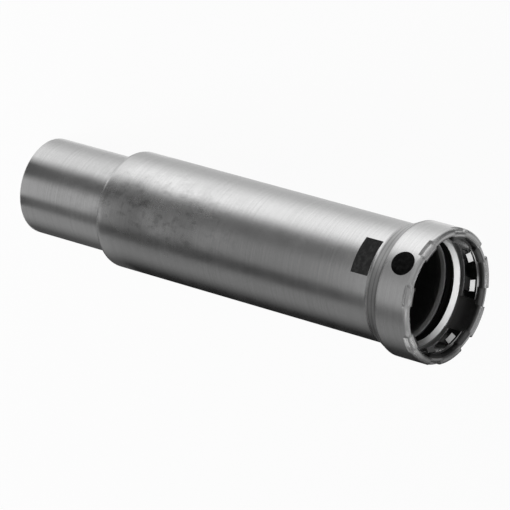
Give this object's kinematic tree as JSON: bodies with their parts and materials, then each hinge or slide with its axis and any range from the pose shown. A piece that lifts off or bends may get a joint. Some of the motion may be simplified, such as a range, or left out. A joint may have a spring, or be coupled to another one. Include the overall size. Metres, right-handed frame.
{
  "type": "press slip coupling",
  "caption": "Straight steel press slip coupling: plain spigot, long sliding sleeve and a dented press cup that holds a seal, a separator and a toothed grip ring.",
  "frame": {"origin": "centre of the spigot's end face, on which the fitting stands", "axes": "+Z along the fitting's axis from the spigot to the cup's mouth, -Y towards the printed marks"},
  "size_m": [0.0462, 0.0463, 0.1731],
  "materials": {
    "satin_steel": "satin, zinc-bright",
    "seal_rubber": "matte black",
    "separator_plastic": "matte white",
    "spring_steel": "bright stainless sheet",
    "print_ink": "matte near-black ink"
  },
  "bodies": {
    "root": {"fitting_body": "satin_steel", "seal_ring": "seal_rubber", "separator_ring": "separator_plastic", "grip_ring": "spring_steel", "marker_dot": "print_ink", "label_field": "print_ink"}
  },
  "joints": []
}
